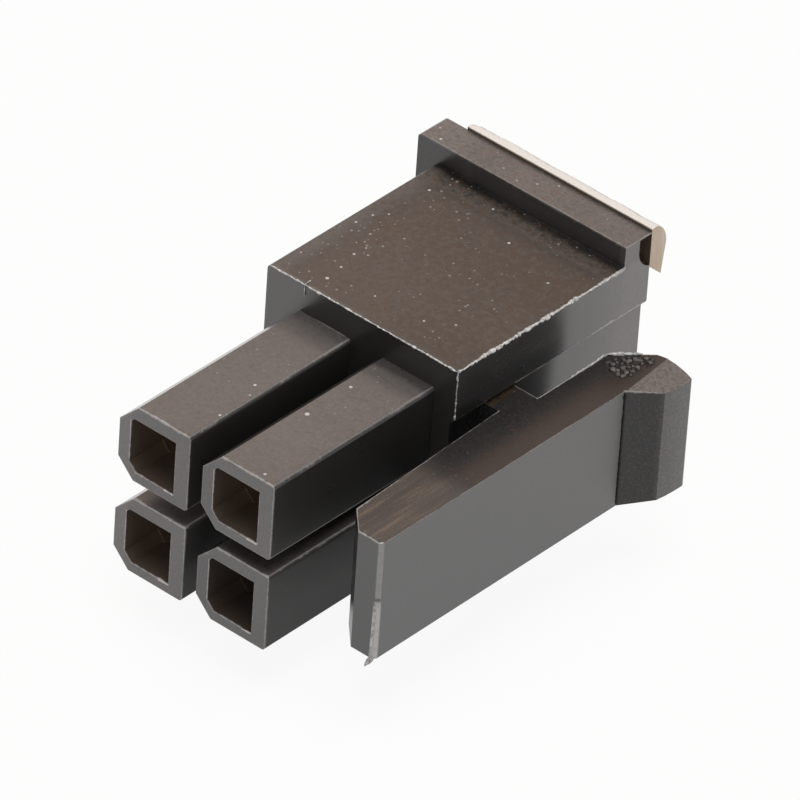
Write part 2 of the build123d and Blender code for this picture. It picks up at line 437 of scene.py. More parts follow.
# Larger dust specks, in millimetres: place and radius.
DUST = (
    (-2.57, 12.07, BODY_TOP, 0.035),
    (-0.78, 12.66, BODY_TOP, 0.030),
    (-2.59, 10.44, BODY_TOP, 0.028),
    (-2.86, 10.09, BODY_TOP, 0.030),
    (-2.96, 9.52, BODY_TOP, 0.032),
    (0.56, 11.79, BODY_TOP, 0.036),
    (-1.97, 8.82, BODY_TOP, 0.024),
    (-3.06, 7.41, BODY_TOP, 0.024),
    (-2.01, 8.38, BODY_TOP, 0.034),
    (-1.71, 8.61, BODY_TOP, 0.024),
    (-1.85, 7.68, BODY_TOP, 0.032),
    (-1.77, 7.03, BODY_TOP, 0.046),
    (2.51, 11.16, BODY_TOP, 0.030),
    (-0.33, 7.35, BODY_TOP, 0.028),
    (1.34, 7.45, BODY_TOP, 0.030),
    (2.06, 7.93, BODY_TOP, 0.028),
    (-3.34, 13.35, COLLAR_TOP, 0.036),
    (-0.12, 13.66, COLLAR_TOP, 0.026),
    (0.35, 14.02, COLLAR_TOP, 0.026),
    (-0.66, 2.99, SILO_TOP, 0.040),
    (-0.45, 2.56, SILO_TOP, 0.026),
    (-0.40, 1.32, SILO_TOP, 0.036),
    (1.18, 4.77, SILO_TOP, 0.044),
    (1.18, 3.03, SILO_TOP, 0.062),
    (2.19, 0.25, SILO_TOP, 0.036),
)


def shade(colour, factor):
    """A colour made lighter or darker."""
    return tuple(factor * c for c in colour)


def edge_marks(place, noise, edges):
    """Largest of the marks along some edges. A mark has its strength up to its reach from the edge less its
    softness, and fades to 0 from there to its reach. Two noise fields make the reach uneven."""
    total = None
    for start, end, reach, uneven, soft, strength in edges:
        start, along = Vector(start), Vector(end) - Vector(start)
        offset = place - tuple(start)
        share = offset.dot(along / along.length_squared).clamp()
        gap = (offset - share.scaled(along)).length()
        edge = reach * (1.0 + uneven * ((noise.ragged - 0.5) * 3.4 + (noise.patches - 0.5) * 2.6))
        mark = ((edge - gap) / soft).clamp() * strength
        total = mark if total is None else total.most(mark)
    return total


def moulding_zones(t):
    """Where a point of the moulding lies, which way its face looks, and masks from 0 to 1 for the zones. The
    bounds of the masks are places in millimetres, or parts of the facing, which goes from -1 to 1."""
    place = t.place()
    x, y, z = t.split(place)
    at = SimpleNamespace(place=place, x=x, y=y, z=z, facing=t.facing())
    at.local = (x - x.sign() * (PITCH / 2), y, z - z.sign() * (PITCH / 2))
    at.top = at.facing[2].step(0.55, 0.85)
    at.front = at.facing[1].step(-0.6, -0.9)

    at.latch = x.step(3.6, 3.75)
    at.silo = y.step(6.6, 6.3) * (1.0 - at.latch)
    at.collar = z.step(3.9, 4.1)
    at.body_top = (1.0 - at.latch - at.silo) * at.top * (1.0 - at.collar)
    at.latch_side = x.step(3.3, 3.34)
    beyond_crease = x + CREASE_SLOPE * (y - RAMP_FRONT) - ARM_OUTER
    at.pad = y.step(RAMP_FRONT - 0.02, RAMP_FRONT + 0.02) * beyond_crease.step(0.0, 0.03)
    at.ring = y.step(0.04, 0.0) * at.silo
    at.hollow = cavity_mask(at.local)

    at.collar_end = at.front * y.step(13.10, 13.14) * y.step(13.20, 13.16) * x.step(-2.0, -3.0)
    beside = at.top * (1.0 - at.collar) * (1.0 - at.latch)
    # Painted shade on the body's top at the foot of the collar.
    at.collar_foot = beside * y.step(12.92, 13.10) * x.step(-0.5, -2.0)
    # A band of painted light on the body's top just before the collar.
    at.pale_band = beside * y.step(12.25, 12.5) * y.step(13.0, 12.75)
    # Painted shade on the rear of the right-hand silos' tops, where they meet the body's front.
    bowed = y + 0.10 * abs(at.local[0] - 0.3)
    at.silo_foot = at.silo * at.top * x.step(0.0, 0.2) * bowed.step(5.96, 6.20) * 0.4
    return at


def cavity_mask(local):
    """1 inside the contact cavities, from coordinates about the middle of a silo."""
    x, y, z = abs(local[0]), local[1], abs(local[2])
    return x.step(0.98, 0.96) * z.step(0.98, 0.96) * (z - local[0]).step(1.72, 1.66) * y.step(0.02, 0.06)


def moulding_noise(t, at):
    """Noise fields that the marks share. Smears run across the body's top, and streaks along the latch."""
    across = 0.745 * at.x + 0.665 * at.y
    down = 0.745 * at.y - 0.665 * at.x
    tint_reach = (2.4 - 1.7 * at.latch) * (1.0 - 0.6 * at.y.step(6.6, 6.3))
    return SimpleNamespace(
        cloud=t.noise(at.place, 0.55, 3.0),
        patches=t.noise(at.place, 1.3, 2.0),
        ragged=t.noise(at.place, 6.5, 3.0, 0.65),
        grain=(t.noise(at.place, 13.0, 3.0, 0.75) - 0.5) * 2.4,
        tint=(t.noise(at.place, 5.0, 3.0, 0.7) - 0.5) * tint_reach,
        smears=t.noise(t.join(across * 3.0, down * 0.5, 0.0), 1.0, 3.0),
        streaks=t.noise(t.join(at.x * 6.0, at.y * 0.35, 0.0), 1.0, 3.0, 0.6),
    )


def haze_and_sheen_strength(at, noise):
    """Grey haze, partly dust and partly painted sheen: strong on the tops of the silos, collar and pad, weak
    on some side faces, with painted light on the silos' faces and some front faces, painted shade on the lower
    right silo's face, and cloudy all over.
    """
    x, y, z = at.x, at.y, at.z
    crest = y.step(11.45, 11.62) * x.step(6.3, 6.42)
    tops = at.top * (at.silo + 1.05 * at.collar + 0.80 * x.step(-2.5, -3.15))
    # Haze and painted sheen on the side faces: the silos, the collar's front and the body's side near its rear
    # end.
    sides = 0.12 * at.silo + 0.24 * y.step(13.1, 13.16) + 0.42 * y.step(11.3, 13.2) * at.latch_side
    sides = (1.0 - at.top) * sides * (1.0 - 0.7 * at.collar_end) * (1.0 - at.pad)
    fronts = 0.15 * (1.0 - at.collar_end) * at.front * (x.step(-1.8, -2.4) + 0.5 * at.latch)

    # Painted light on the silos' faces, more at the left of the left-hand silos, less there on the right-hand
    # ones, and painted shade on the lower right silo's face.
    left_face = at.ring * at.local[0].step(-0.84, -0.88)
    faces = 0.43 * at.ring + left_face * (1.15 * x.step(0.1, -0.1) - 0.30)
    faces = faces - 0.15 * at.ring * z.step(0.1, -0.1) * x.step(-0.1, 0.1)
    haze_and_sheen = (tops + 1.4 * at.pad * at.top + 0.4 * crest + sides + fronts + faces).clamp()

    level = 0.75 + 0.12 * at.silo + 0.25 * x.step(-1.5, -3.5) * at.collar
    return haze_and_sheen * (level + (noise.cloud - 0.5) * 0.8 + (noise.ragged - 0.5) * (1.3 - 0.6 * at.silo))


def film_colour(t, at, noise, haze_and_sheen, looks):
    """Bare nylon under the brown film and the grey haze, which is partly painted sheen."""
    latch_film = 0.10 + 0.90 * at.y.step(4.6, 3.0) + (noise.streaks - 0.5) * 1.8
    body_film = 0.75 + (noise.smears - 0.5) * 1.2 + (noise.cloud - 0.5) * 0.5
    film = (at.top * (at.latch * latch_film + (1.0 - at.latch) * body_film)).clamp()
    return t.blend(haze_and_sheen.clamp(), t.blend(film, looks.nylon, looks.film), looks.haze_and_sheen)


def grained_colour(t, at, noise, colour, looks):
    """Pale and dark grain, strongest on the pad, a grey lift on the tops of the pad, silos and collar that is
    partly painted sheen, and painted reflected light on the body's side at its rear end.
    """
    x, y, z = at.x, at.y, at.z
    ramp = at.pad * at.facing[1].step(-0.25, -0.5)
    skin = 0.07 + at.top * (0.35 + 0.15 * at.collar - 0.25 * at.silo)
    skin = skin + at.pad * (1.0 - 0.45 * ramp) + 0.35 * at.ring
    lift = at.top * (0.50 * at.pad + 0.06 * at.silo + at.collar * (0.07 + 0.17 * x.step(-2.0, -3.6)))
    # Painted reflected light on the body's side below the collar.
    body_end_light = (1.0 - at.top) * (1.0 - at.pad) * y.step(11.6, 13.8) * at.latch_side * z.step(3.8, 3.5)
    lift = lift + 0.22 * body_end_light
    colour = t.blend((noise.grain * 0.55 * skin + lift).clamp(), colour, shade(looks.haze_and_sheen, 2.3))
    return t.blend((noise.grain * -0.8 * (skin + 0.4 * at.top).least(0.9)).clamp(), colour, looks.grime_and_shade)


def stained_colour(t, at, noise, colour, looks):
    """Tan streaks on the latch's nose, a brown stain and a band of painted light on the body's top, flecks on
    upper faces, and painted light towards the rear of the silos' tops.
    """
    x, y = at.x, at.y
    nose_top = at.latch * at.top * y.step(4.9, 3.6)
    tan = nose_top * ((noise.streaks - 0.5) * 3.4 + noise.grain * 0.7 + 0.05)
    colour = t.blend(tan.clamp(), colour, TAN)
    colour = t.blend((tan * -1.2).clamp(), colour, looks.grime_and_shade)

    # Painted light in a pale band on the body's top before the collar.
    colour = t.blend(at.pale_band * (0.5 + (noise.ragged - 0.5) * 1.2), colour, BAND_LIGHT_COLOUR)
    middle = at.body_top * x.step(-3.1, -2.0) * y.step(12.6, 11.6)
    colour = t.blend(middle * (0.55 + (noise.smears - 0.5) * 0.8), colour, BROWN_FILM)
    colour = t.blend((noise.tint * 1.5 * at.top).clamp(), colour, WARM_FLECK)
    colour = t.blend((noise.tint * -1.3 * at.top).clamp(), colour, COLD_FLECK)

    latch_stripe = at.latch * at.top * y.step(4.2, 5.2) * x.step(4.8, 5.2) * (1.0 - at.pad)
    colour = t.blend(latch_stripe * 0.5, colour, BROWN_STRIPE)
    # Painted light towards the rear of the silos' tops.
    silo_rear_light = at.silo * at.top * y.step(4.6, 5.7) * y.step(6.25, 5.8)
    return t.blend(silo_rear_light * 0.20, colour, shade(looks.haze_and_sheen, 2.3))


def darkened_colour(t, at, noise, colour, looks):
    """Brown cavities with painted shade near their mouths and in the lower one beside the latch, a brown
    scoop, and painted shade at the silos' feet, in inner corners and at the collar's foot.
    """
    x, y, z = at.x, at.y, at.z
    # Painted shade at the feet of the silos.
    colour = t.blend(at.silo_foot, colour, looks.grime_and_shade)
    # In the cavities: painted shade near the mouths, lighter deeper in, and painted shade in the lower one
    # beside the latch.
    inside = t.blend(y.step(0.3, 2.2), shade(looks.inside, 0.40), shade(looks.inside, 1.5))
    inside = t.blend(x.step(0.0, 0.1) * z.step(0.0, -0.1) * 0.45, inside, looks.grime_and_shade)
    colour = t.blend(at.hollow, colour, inside)
    scooped = y.step(13.70, 13.74) * x.step(3.40, 3.36) * z.step(3.10, 3.20) * z.step(4.30, 4.26)
    colour = t.blend(scooped * x.step(2.9, 3.0), colour, shade(looks.inside, 0.85))
    # Painted shade along the crease before the pad, the strip's joins and the collar's foot.
    colour = t.blend(edge_marks(at.place, noise, PAINTED_SHADE_LINES), colour, looks.grime_and_shade)
    # Painted shade at the foot of the collar.
    return t.blend(0.8 * at.collar_foot, colour, looks.grime_and_shade)


def scuff_and_highlight_strength(t, at, noise):
    """Pale scuffs and painted highlights along the edges, with a painted highlight down the nose's outer
    corner that a nick divides.
    """
    scuff_and_highlight = edge_marks(t.join(*at.local), noise, SILO_SCUFFS_AND_GLINTS)
    scuff_and_highlight = scuff_and_highlight.most(edge_marks(at.place, noise, BODY_SCUFFS_AND_HIGHLIGHTS + SCRATCHES + LATCH_SCUFFS))
    # Painted highlight down the nose's outer corner, broken by a nick.
    nick = abs(at.z - 0.03).step(0.03, 0.07)
    low = at.z.step(0.1, -0.3)
    from_corner = ARM_OUTER + 0.06 - at.x + at.y - ARM_NOSE - 0.04 * low
    band = from_corner.step(0.20, 0.10) * at.x.step(5.4, 5.60) * at.y.step(1.3, 1.2)
    band = band * (0.85 + (noise.ragged - 0.5) * 0.6) * (0.2 + 0.8 * nick)
    return scuff_and_highlight.most(band.clamp())


def dust_strength(t, at):
    """Small specks scattered at random, mostly on upper faces, and the larger ones of the table."""
    gathered = 0.45 + 0.8 * t.noise(at.place, 0.8, 1.0).step(0.42, 0.62) + 0.35 * at.x.step(-0.8, -2.6)
    distance, cell = t.specks(at.place, 6.5)
    dust = (cell[0].step(0.15, 1.0) * 0.034 * gathered - distance).step(0.0, 0.016)
    dust = dust * (0.12 + 0.88 * at.top) * (1.0 - 0.8 * at.latch - 0.5 * at.silo) * (0.08 + 0.45 * cell[2])
    for x, y, z, radius in DUST:
        away = (at.place - (x, y, z)).length()
        dust = dust.most(away.step(radius + 0.018, radius - 0.010) * min(1.0, radius / 0.034))
    return dust.clamp() * (1.0 - at.hollow)


def coat_strength(at, noise, dull, shade_side):
    """Gloss: full on clean nylon, weaker on the body's and latch's tops and where a mark covers it."""
    x, y = at.x, at.y
    latch_dim = 0.25 + 0.28 * x.step(5.2, 4.7) + 0.75 * y.step(3.9, 4.8)
    latch_dim = at.latch * at.top * latch_dim * (1.0 - at.pad)
    body_dim = 0.17 + 0.28 * y.step(7.5, 11.5) + 0.24 * x.step(-3.2, 3.0)
    body_dim = body_dim + 0.22 * x.step(0.0, 3.0) * y.step(9.0, 6.6)
    body_dim = at.body_top * (body_dim + 0.3 * y.step(12.7, 13.1) * x.step(-0.5, -2.5))
    speckle = (0.6 * noise.grain + 1.4 * noise.tint) * -0.95
    speckle = (speckle * at.top * (1.0 - at.silo) * (1.0 - 0.6 * at.collar)).least(0.6)
    body_front = at.front * y.step(6.2, 6.3) * y.step(6.5, 6.4) * x.step(-2.2, -1.2)
    pad_dim = at.pad * (0.85 * at.facing[0].step(0.97, 0.85) + 0.2 * (1.0 - at.top))
    corner_dim = 0.6 * body_front + 0.6 * at.collar_end + 0.6 * at.collar_foot + at.silo_foot
    return (1.0 - pad_dim - 0.8 * shade_side - corner_dim - latch_dim - body_dim + speckle - dull).clamp()


def nylon_material(looks):
    """Black nylon: satin, with a brown film, dust and painted sheen on the upper faces, scuffed edges with
    painted highlights, a grained pad, and painted shade in corners and cavities.
    """
    t = Tree("black_nylon")
    at = moulding_zones(t)
    noise = moulding_noise(t, at)
    haze_and_sheen = haze_and_sheen_strength(at, noise)
    colour = film_colour(t, at, noise, haze_and_sheen, looks)
    colour = grained_colour(t, at, noise, colour, looks)
    colour = stained_colour(t, at, noise, colour, looks)
    colour = darkened_colour(t, at, noise, colour, looks)
    scuff_and_highlight = scuff_and_highlight_strength(t, at, noise)
    dust = dust_strength(t, at)
    # Pale wear and painted highlights on the edges, then dust.
    colour = t.blend(dust * 0.85, t.blend(scuff_and_highlight, colour, looks.worn_and_lit), DUST_GREY)

    dull = (scuff_and_highlight + dust + at.hollow).clamp()
    shade_side = at.silo * at.z.step(0.0, -0.3) * at.facing[0].step(0.6, 0.9)
    rough = 0.25 + 0.05 * noise.cloud + 0.10 * haze_and_sheen + 0.30 * dull + 0.45 * at.hollow
    rough = rough + 0.10 * at.pad + 0.35 * shade_side
    height = noise.grain * (0.10 * at.top + 0.6 * at.pad + 0.12 * haze_and_sheen) + noise.ragged * 0.10 * at.top
    return t.surface(
        Base_Color=colour, Roughness=rough.clamp(), Normal=t.bump(height, 0.012 * MM, 0.55), IOR=1.5,
        Coat_Weight=coat_strength(at, noise, dull, shade_side), Coat_Roughness=0.24, Coat_IOR=1.5,
    )


def burr_material(colour):
    """Burr whose attribute says how it looks: 1 is pale from stress whitening and partly painted highlight, 0
    is grey and -1 is black, as painted shade.
    """
    t = Tree("burr")
    speckle = t.noise(t.place(), 9.0, 2.0, 0.6)
    pale = t.attribute("pale")
    whitened_and_lit = t.blend(speckle.step(0.35, 0.62), shade(colour, 0.5), colour)
    mixed = t.blend(pale, (0.10, 0.095, 0.092), whitened_and_lit)
    mixed = t.blend(pale * -1.0, mixed, (0.003, 0.003, 0.003))
    return t.surface(Base_Color=mixed, Roughness=0.6)


def scar_material(looks):
    """Broken nylon: dark between the crumbs and pale on their tops."""
    t = Tree("broken_gate")
    lift = t.attribute("lift")
    speckle = t.noise(t.place(), 14.0, 2.0, 0.6)
    # Darkest low between the crumbs, as painted shade in the pits.
    colour = t.blend(lift.step(0.10, 0.5), looks.grime_and_shade, (0.08, 0.068, 0.064))
    colour = t.blend(lift.step(0.30, 0.85) * speckle.step(0.35, 0.6), colour, (0.27, 0.245, 0.23))
    return t.surface(Base_Color=colour, Roughness=0.38)


def cream_material(looks):
    """Matt cream plastic: lighter on its upper faces as painted light, with a painted highlight towards the
    rear of its end, dark brown as painted shade where it lies on the collar, and a thin darker rear rim.
    """
    t = Tree("cream_strip")
    place = t.place()
    x, y, z = t.split(place)
    facing = t.facing()
    rim = t.attribute("rim")
    streak = t.noise(t.join(x * 0.5, y * 4.0, z * 1.2), 2.0, 4.0)
    fine = t.noise(place, 9.0, 3.0)
    end = facing[0].step(0.5, 0.9)
    end_rim_highlight = end * (y + 0.12 * (z - 3.0)).step(14.74, 14.80)
    shaded_seat = facing[1].step(-0.5, -0.9) * z.step(COLLAR_TOP + 0.07, COLLAR_TOP + 0.05)
    colour = t.blend(streak.step(0.3, 0.75) * 0.5, looks.cream, shade(looks.cream, 0.86))
    # Painted light on faces that look up, and a painted highlight towards the rear of the end.
    colour = t.blend(facing[2].step(0.25, 0.75), colour, looks.top)
    colour = t.blend(end_rim_highlight * 0.3, colour, shade(looks.top, 0.9))
    colour = t.blend((rim * 1.1 * (0.2 + 0.7 * fine) * (1.0 - end)).clamp(), colour, (0.20, 0.14, 0.10))
    # Painted shade on the face that lies on the collar.
    colour = t.blend(shaded_seat, colour, looks.shaded_seat)
    return t.surface(Base_Color=colour, Roughness=0.5 + 0.12 * streak, Normal=t.bump(fine, 0.02 * MM, 0.4))


def put_mesh(name, vertices, faces, material, smooth=True, attribute=None):
    """Links a mesh made of arrays. An attribute is its name and one value for each vertex."""
    mesh = bpy.data.meshes.new(name)
    mesh.from_pydata(np.asarray(vertices).tolist(), [], faces if isinstance(faces, list) else faces.tolist())
    mesh.update()
    mesh.polygons.foreach_set("use_smooth", np.full(len(mesh.polygons), smooth))
    if attribute is not None:
        layer = mesh.attributes.new(attribute[0], "FLOAT", "POINT")
        layer.data.foreach_set("value", np.asarray(attribute[1], dtype=np.float32).ravel())
    mesh.materials.append(material)
    made = bpy.data.objects.new(name, mesh)
    bpy.context.scene.collection.objects.link(made)
    return made


def grid_faces(rows, columns, wrap=False):
    """Quads between neighbouring points of a grid that is numbered row by row."""
    r, c = np.meshgrid(np.arange(rows - 1), np.arange(columns if wrap else columns - 1), indexing="ij")
    row, above, after = r * columns, (r + 1) * columns, (c + 1) % columns
    return np.stack([row + c, row + after, above + after, above + c], -1).reshape(-1, 4)


def wander(rng, count, spacing):
    """Random values from 0 to 1, one every few samples, joined by cosine curves."""
    knots = rng.random(int(count / spacing) + 3)
    at = np.arange(count) / spacing
    low = at.astype(int)
    share = (1.0 - np.cos(math.pi * (at - low))) / 2
    return knots[low] * (1.0 - share) + knots[low + 1] * share


def merged_copy(node, name, material):
    """Copy of a CAD node's mesh with its doubles merged and its flat faces joined."""
    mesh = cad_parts[node].data.copy()
    mesh.name = name
    work = bmesh.new()
    work.from_mesh(mesh)
    bmesh.ops.remove_doubles(work, verts=work.verts, dist=0.002 * MM)
    bmesh.ops.dissolve_limit(work, angle_limit=math.radians(1.0), verts=work.verts, edges=work.edges)
    work.to_mesh(mesh)
    work.free()
    mesh.polygons.foreach_set("use_smooth", np.ones(len(mesh.polygons), dtype=bool))
    mesh.materials.clear()
    mesh.materials.append(material)
    made = bpy.data.objects.new(name, mesh)
    bpy.context.scene.collection.objects.link(made)
    return made


class HOUSING_OT_moulding(bpy.types.Operator):
    """Dress the black moulding: soft edges and moulded nylon"""

    bl_idname = "housing.moulding"
    bl_label = "Black moulding"

    def execute(self, context):
        looks = context.scene.housing_looks
        skin = merged_copy("housing", "moulding", nylon_material(looks))
        bevel = skin.modifiers.new("soft_edges", "BEVEL")
        bevel.width = looks.edge_round
        bevel.segments = 2
        bevel.limit_method = "ANGLE"
        bevel.angle_limit = math.radians(28)
        bevel.use_clamp_overlap = True
        normals = skin.modifiers.new("flat_faces", "WEIGHTED_NORMAL")
        normals.keep_sharp = False
        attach(skin, "root")
        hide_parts("housing")
        return {"FINISHED"}


# Edges that carry a burr, in millimetres: two ends, size against the mean radius, raggedness, and paleness
# from -1 for black to 1 for white; the white is partly painted highlight on the lit edges. In order: two on
# the body's upper edges and one down its corner, three that make the fin on the nose's lower corner, a blob on
# its upper one, a black bead of painted shade in the crease before the pad, two that make a hair over the
# body's front edge, and two along the tail's upper edge.
BURRS = (
    ((BODY_LEFT + 0.12, SILO_LENGTH, BODY_TOP), (BODY_RIGHT, SILO_LENGTH, BODY_TOP), 0.95, 0.9, 1.0),
    ((BODY_RIGHT, SILO_LENGTH, BODY_TOP), (BODY_RIGHT, COLLAR_FRONT - 0.1, BODY_TOP), 1.45, 1.0, 1.0),
    ((BODY_RIGHT, SILO_LENGTH, RAIL_EDGE), (BODY_RIGHT, SILO_LENGTH, BODY_TOP), 0.80, 1.0, 0.7),
    (
        (ARM_OUTER - 0.09, ARM_NOSE, -0.05),
        (ARM_OUTER - 0.125, ARM_NOSE - 0.03, -ARM_HALF - 0.02), 1.7, 0.02, 0.60,
    ),
    (
        (ARM_OUTER - 0.12, ARM_NOSE - 0.02, -ARM_HALF + 0.08),
        (ARM_OUTER - 0.22, ARM_NOSE - 0.11, -ARM_HALF - 0.27), 1.9, 0.05, 0.6,
    ),
    (
        (ARM_OUTER - 0.03, ARM_NOSE + 0.05, -ARM_HALF + 0.04),
        (ARM_OUTER - 0.21, ARM_NOSE - 0.10, -ARM_HALF - 0.24), 1.7, 0.05, 0.6,
    ),
    (
        (ARM_OUTER - 0.10, ARM_NOSE - 0.01, ARM_HALF - 0.02),
        (ARM_OUTER - 0.02, ARM_NOSE + 0.12, ARM_HALF + 0.01), 1.5, 0.5, 0.8,
    ),
    # A black bead as painted shade in the crease before the pad.
    (
        (ARM_OUTER + 0.012, RAMP_FRONT + 0.012, -ARM_HALF + 0.02),
        (ARM_OUTER + 0.012, RAMP_FRONT + 0.012, ARM_HALF - 0.05), 1.2, 0.3, -1.0,
    ),
    ((-2.00, 6.66, BODY_TOP + 0.01), (-1.97, 6.35, BODY_TOP + 0.02), 0.8, 0.5, 1.0),
    ((-1.97, 6.36, BODY_TOP + 0.02), (-1.955, 6.345, BODY_TOP - 0.38), 0.8, 0.5, 0.8),
    ((TAIL_INNER, 10.2, ARM_HALF), (TAIL_INNER, TAIL_CUT, ARM_HALF + 0.02), 0.9, 0.8, 1.0),
    ((TAIL_INNER, TAIL_CUT - 0.04, ARM_HALF + 0.02), (4.98, 12.40, ARM_HALF + 0.02), 1.9, 0.45, 0.9),
)
BURR_SIDES = 8
BURR_SPACING = 0.018
BURR_TAPER = 0.16


def ragged_bead(start, end, radius, ragged, seed):
    """Burr along an edge: a ring of points carried from start to end. Its centre wanders, and its radius is
    the mean radius times a product of a slow and a quick random curve. A third curve adds a lump wherever it
    passes 0.8. The radius shrinks to a quarter towards each end, and the last ring there is one point."""
    rng = np.random.default_rng(seed)
    start, end = np.array(start, float), np.array(end, float)
    length = np.linalg.norm(end - start)
    count = int(length / BURR_SPACING)
    along = (end - start) / length
    side = np.cross(along, (0.3, 0.5, 0.8))
    side = side / np.linalg.norm(side)
    lift = np.cross(side, along)
    s = np.linspace(0.0, 1.0, count)
    quick, slow = wander(rng, count, 3.5), wander(rng, count, 22)
    uneven = 1.0 - ragged + ragged * (0.25 + 1.5 * quick * (0.35 + slow))
    lumps = 1.0 + 4.0 * ragged * np.maximum(0.0, wander(rng, count, 8) - 0.8)
    reach = radius * uneven * lumps * np.minimum(1.0, np.minimum(s, 1 - s) * length / BURR_TAPER + 0.25)
    reach[0] = reach[-1] = 0.0
    centre = start + s[:, None] * (end - start)
    centre = centre + radius * 0.8 * ragged * ((wander(rng, count, 6)[:, None] - 0.5) * side)
    centre = centre + radius * 0.8 * ragged * ((wander(rng, count, 6)[:, None] - 0.5) * lift)
    turn = np.linspace(0.0, 2 * math.pi, BURR_SIDES, endpoint=False)
    ring = np.cos(turn)[:, None] * side + np.sin(turn)[:, None] * lift
    points = centre[:, None, :] + reach[:, None, None] * ring[None]
    return points.reshape(-1, 3) * MM, grid_faces(count, BURR_SIDES, wrap=True)


class HOUSING_OT_burr(bpy.types.Operator):
    """Add the ragged pale burr along the body's and the latch's edges"""

    bl_idname = "housing.burr"
    bl_label = "Burr"

    def execute(self, context):
        looks = context.scene.burr_looks
        vertices, faces, shades, first = [], [], [], 0
        for seed, (start, end, size, ragged, pale) in enumerate(BURRS, 11):
            points, quads = ragged_bead(start, end, looks.radius / MM * size, ragged, seed)
            vertices.append(points)
            faces.append(quads + first)
            shades.append(np.full(len(points), pale))
            first += len(points)
        burr = put_mesh(
            "burr", np.concatenate(vertices), np.concatenate(faces), burr_material(looks.colour),
            attribute=("pale", np.concatenate(shades)),
        )
        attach(burr, "root")
        return {"FINISHED"}


# Patch of the broken gate, in millimetres: its middle, half its width and length, its lean, and how deep its
# rim lies in the pad.
SCAR_X = 5.02
SCAR_Y = 11.82
SCAR_HALF_WIDTH = 0.50
SCAR_HALF_LENGTH = 0.74
SCAR_LEAN = 0.10
SCAR_SUNK = 0.012


def scar_surface(crumbs, radius):
    """Broken gate over a leaning grid. Its height is the greatest of many crumbs, each nine tenths of a half
    sphere of its own size, cut off flat at 0.62 of its radius, plus a fine grit. It sinks into the pad away
    from the crumbs and at the borders of the patch, and the faces that are all sunk are left out. The third
    result is each point's height against the largest radius."""
    rng = np.random.default_rng(5)
    u, v = np.meshgrid(np.linspace(-1, 1, 120), np.linspace(-1, 1, 160), indexing="ij")
    x = SCAR_X + SCAR_HALF_WIDTH * u + SCAR_LEAN * v
    y = SCAR_Y + SCAR_HALF_LENGTH * v
    centres = rng.uniform(-0.85, 0.85, (crumbs, 2))
    sizes = rng.uniform(0.45, 1.0, crumbs) * radius
    centre_x = SCAR_X + SCAR_HALF_WIDTH * centres[:, 0] + SCAR_LEAN * centres[:, 1]
    centre_y = SCAR_Y + SCAR_HALF_LENGTH * centres[:, 1]
    squared = (x[..., None] - centre_x) ** 2 + (y[..., None] - centre_y) ** 2
    domes = np.minimum(0.62, np.sqrt(np.maximum(0.0, 1.0 - squared / sizes ** 2)) * 0.9) * sizes
    height = domes.max(-1)

    rim = np.clip(6 * (1 - np.maximum(abs(u), abs(v))), 0, 1)
    corner = np.clip(6 * ((x - TAIL_INNER) - (y - TAIL_CUT) - 0.08), 0, 1)
    side = np.clip(8 * (x - TAIL_INNER - 0.08), 0, 1)
    crease = np.clip(8 * (ARM_OUTER - CREASE_SLOPE * (y - RAMP_FRONT) - 0.05 - x), 0, 1)
    cover = rim * corner * side * crease
    shown = np.clip((0.13 - np.sqrt(squared.min(-1))) / 0.05, 0, 1) * cover
    grit = wander(rng, height.size, 2.0).reshape(height.shape) * 0.010
    z = ARM_HALF - SCAR_SUNK + shown * (height + grit + SCAR_SUNK)

    faces = grid_faces(*x.shape)
    faces = faces[shown.ravel()[faces].max(1) > 0]
    used, faces = np.unique(faces, return_inverse=True)
    points = np.stack([x, y, z], -1).reshape(-1, 3)[used] * MM
    return points, faces.reshape(-1, 4), (height / radius * cover).ravel()[used]


class HOUSING_OT_scar(bpy.types.Operator):
    """Add the broken gate on the thumb pad: flat-topped crumbs over a small patch"""

    bl_idname = "housing.scar"
    bl_label = "Broken gate"

    def execute(self, context):
        looks = context.scene.scar_looks
        points, faces, lift = scar_surface(looks.crumbs, looks.height / MM)
        material = scar_material(context.scene.housing_looks)
        scar = put_mesh("broken_gate", points, faces, material, attribute=("lift", lift))
        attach(scar, "root")
        return {"FINISHED"}


def strip_surface(depth):
    """Cream strip: a closed D-shaped profile carried along X. Its upper rear corner wanders by a random curve
    and draws in at the left end. The third result is 1 along the line that shows as a darker rim."""
    rng = np.random.default_rng(3)
    top, foot, low, bend = COLLAR_TOP + 0.11, STRIP_FOOT, STRIP_FOOT - 0.46, STRIP_FOOT + 0.55
    count = 260
    s = np.linspace(0.0, 1.0, count)
    x = STRIP_LEFT + s * (BODY_RIGHT - STRIP_LEFT)
    ragged = 0.10 * (wander(rng, count, 26) - 0.35) + 0.03 * (wander(rng, count, 5) - 0.5)
    ragged = ragged - 0.12 * np.exp(-(s / 0.02) ** 2)
    bow = np.linspace(0.0, 1.0, 20)
    back_y = BACK + depth * (1 - 0.75 * bow ** 1.8)
    back_z = bend + (top - bend) * (1 - (1 - bow) ** 1.5)
    front = np.array([[BACK, top - 0.01], [BACK, foot], [BACK + depth - 0.13, low]])
    y = np.concatenate([back_y, front[:, 0]])
    z = np.concatenate([back_z, front[:, 1]])
    shift = np.concatenate([bow ** 2, np.zeros(3)])
    rim = np.concatenate([np.exp(-((bow - 0.74) / 0.10) ** 2), np.zeros(3)])
    points = np.empty((count, len(y), 3))
    points[..., 0] = x[:, None]
    points[..., 1] = y + ragged[:, None] * shift
    points[..., 2] = z
    faces = grid_faces(count, len(y), wrap=True).tolist()
    faces.append(list(range(len(y)))[::-1])
    faces.append([(count - 1) * len(y) + k for k in range(len(y))])
    return points.reshape(-1, 3) * MM, faces, np.tile(rim, count)


